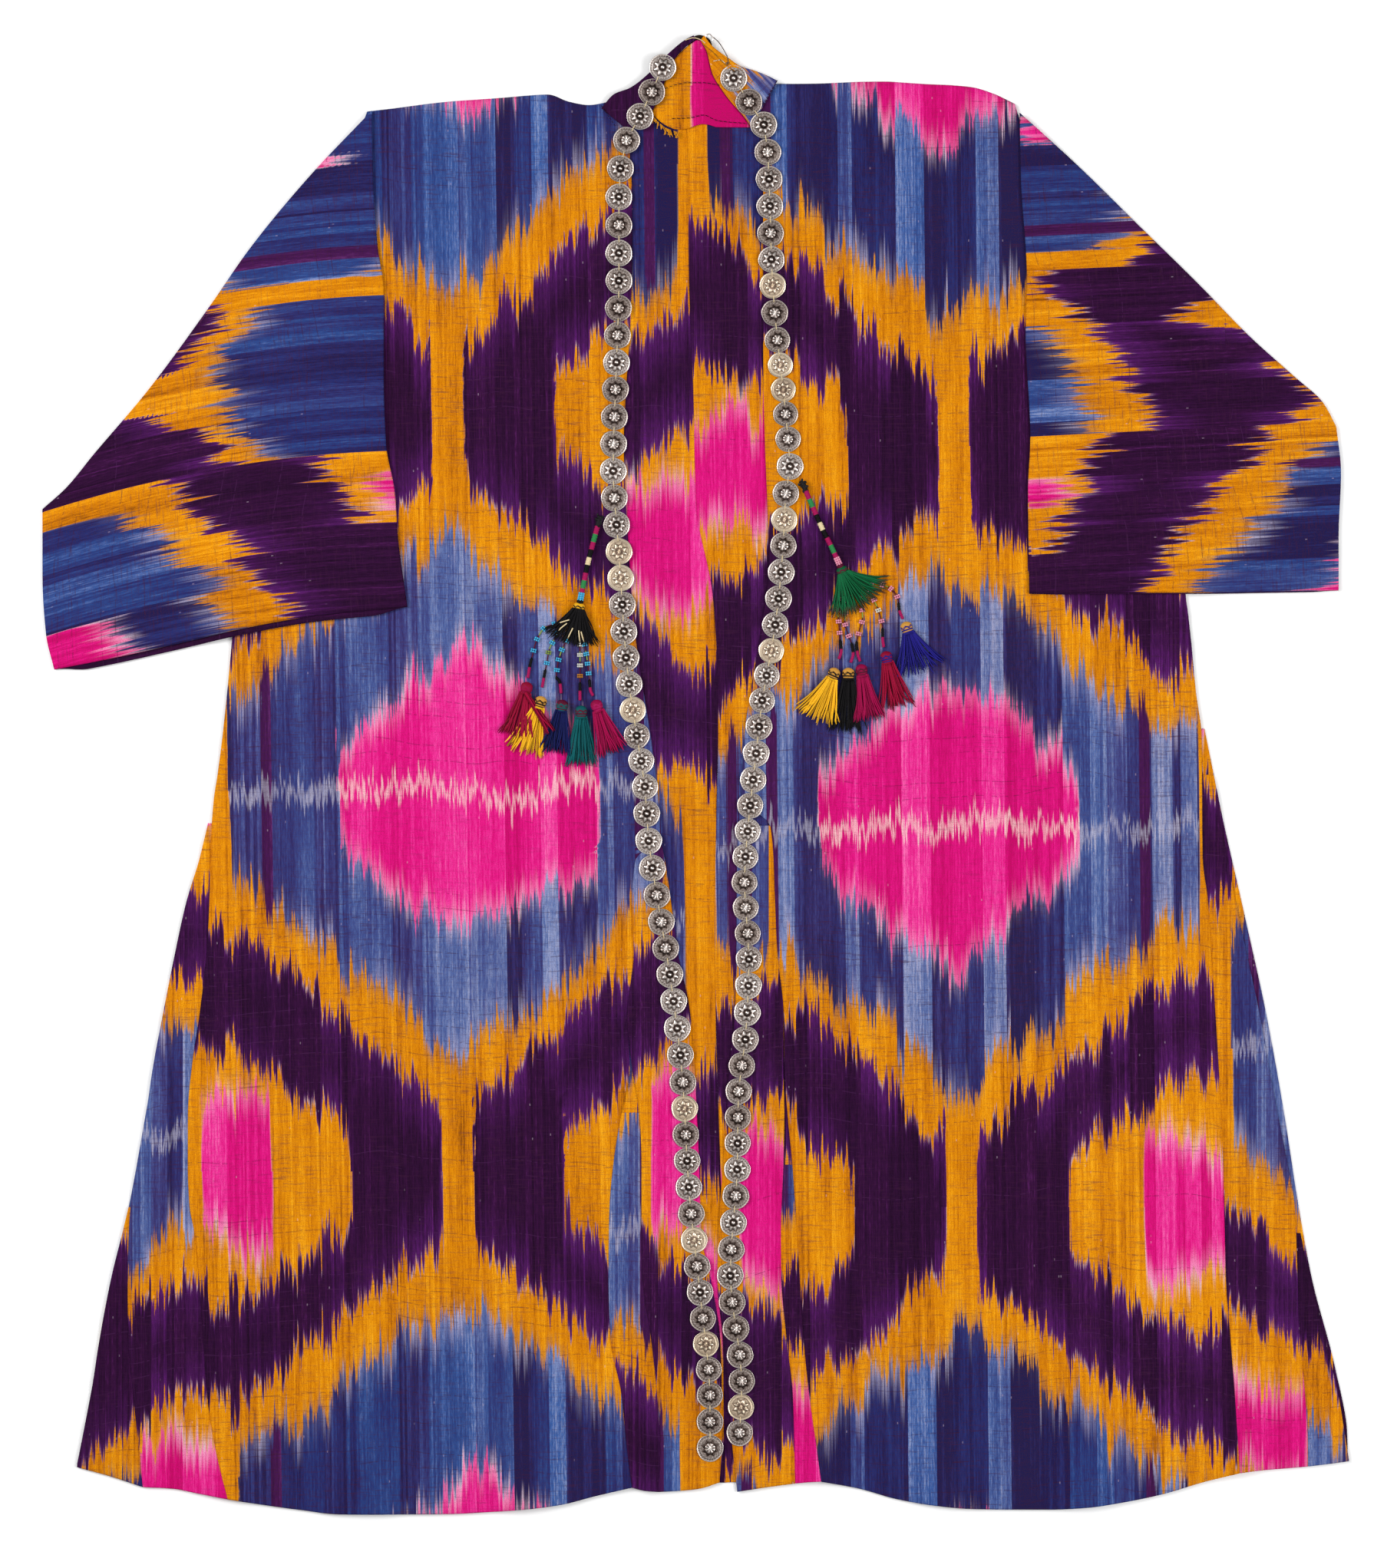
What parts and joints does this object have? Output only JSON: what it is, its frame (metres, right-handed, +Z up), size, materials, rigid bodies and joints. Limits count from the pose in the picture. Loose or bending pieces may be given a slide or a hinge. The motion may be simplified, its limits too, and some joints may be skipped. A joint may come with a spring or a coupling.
{
  "type": "ikat chapan robe",
  "caption": "Open-fronted ikat robe laid flat, with wide sleeves, skirt gores, a peaked band collar, stamped disc trim down both front edges and tassel ornaments.",
  "frame": {"origin": "middle of the laid-out outline, on the plane that the back lies on", "axes": "+Y from hem to collar, +Z up off the surface, +X towards the sleeve at the right seen from above"},
  "size_m": [1.1058, 1.2522, 0.0097],
  "materials": {
    "ikat_purple": "soft silk sheen, warp ikat",
    "ikat_yellow": "soft silk sheen, warp ikat",
    "ikat_blue": "soft silk sheen, warp ikat",
    "ikat_pink": "soft silk sheen, warp ikat",
    "oxidised_silver": "oxidised silver stampings",
    "crimson_thread": "twisted silk thread",
    "yellow_thread": "twisted silk thread",
    "navy_thread": "twisted silk thread",
    "teal_thread": "twisted silk thread",
    "black_thread": "twisted silk thread",
    "green_thread": "twisted silk thread"
  },
  "bodies": {
    "root": {"back_left": "ikat_purple", "back_right": "ikat_yellow", "back_gore_left": "ikat_blue", "back_gore_right": "ikat_purple", "front_left": "ikat_yellow", "front_right": "ikat_blue", "side_gore_left": "ikat_blue", "side_gore_right": "ikat_purple", "outer_gore_left": "ikat_purple", "outer_gore_right": "ikat_yellow", "front_gore_left": "ikat_pink", "front_gore_right": "ikat_pink", "inset_left": "ikat_blue", "inset_right": "ikat_yellow", "sleeve_left": "ikat_blue", "sleeve_right": "ikat_yellow", "collar_left": "ikat_purple", "collar_right": "ikat_yellow", "neck_facing": "ikat_pink", "disc_chain_left": "oxidised_silver", "disc_chain_right": "oxidised_silver", "disc_peak": "oxidised_silver", "ornament_left": "black_thread", "ornament_right": "green_thread", "tassel_left_crimson_outer": "crimson_thread", "tassel_left_yellow": "yellow_thread", "tassel_left_navy": "navy_thread", "tassel_left_teal": "teal_thread", "tassel_left_crimson_inner": "crimson_thread", "tassel_right_yellow": "yellow_thread", "tassel_right_black": "black_thread", "tassel_right_crimson_inner": "crimson_thread", "tassel_right_crimson_outer": "crimson_thread", "tassel_right_navy": "navy_thread"}
  },
  "joints": []
}
